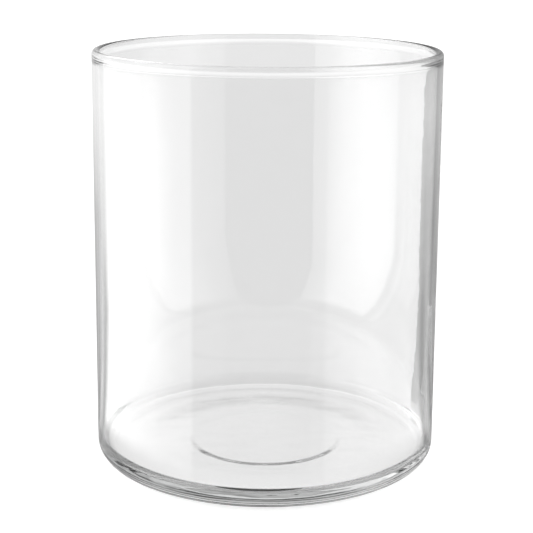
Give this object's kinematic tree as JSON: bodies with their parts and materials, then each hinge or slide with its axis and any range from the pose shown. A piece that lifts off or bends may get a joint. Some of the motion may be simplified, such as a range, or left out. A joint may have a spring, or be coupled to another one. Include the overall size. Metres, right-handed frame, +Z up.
{
  "type": "cylinder vase",
  "caption": "Straight-sided clear glass vase with a rounded lip, a thick base and a shallow hollow underneath, which stands on a flat foot ring and holds water and cut stems.",
  "frame": {"origin": "on the axis of the vase, on the plane that its foot rests on", "axes": "+Z up along the axis of the vase, from the foot to the open lip; X and Y are alike, because the vase is round"},
  "size_m": [0.15, 0.15, 0.18],
  "materials": {
    "clear_glass": "smooth clear soda-lime glass with a fire-polished lip and faint moulding waves"
  },
  "bodies": {
    "root": {"vase_body": "clear_glass"}
  },
  "joints": []
}
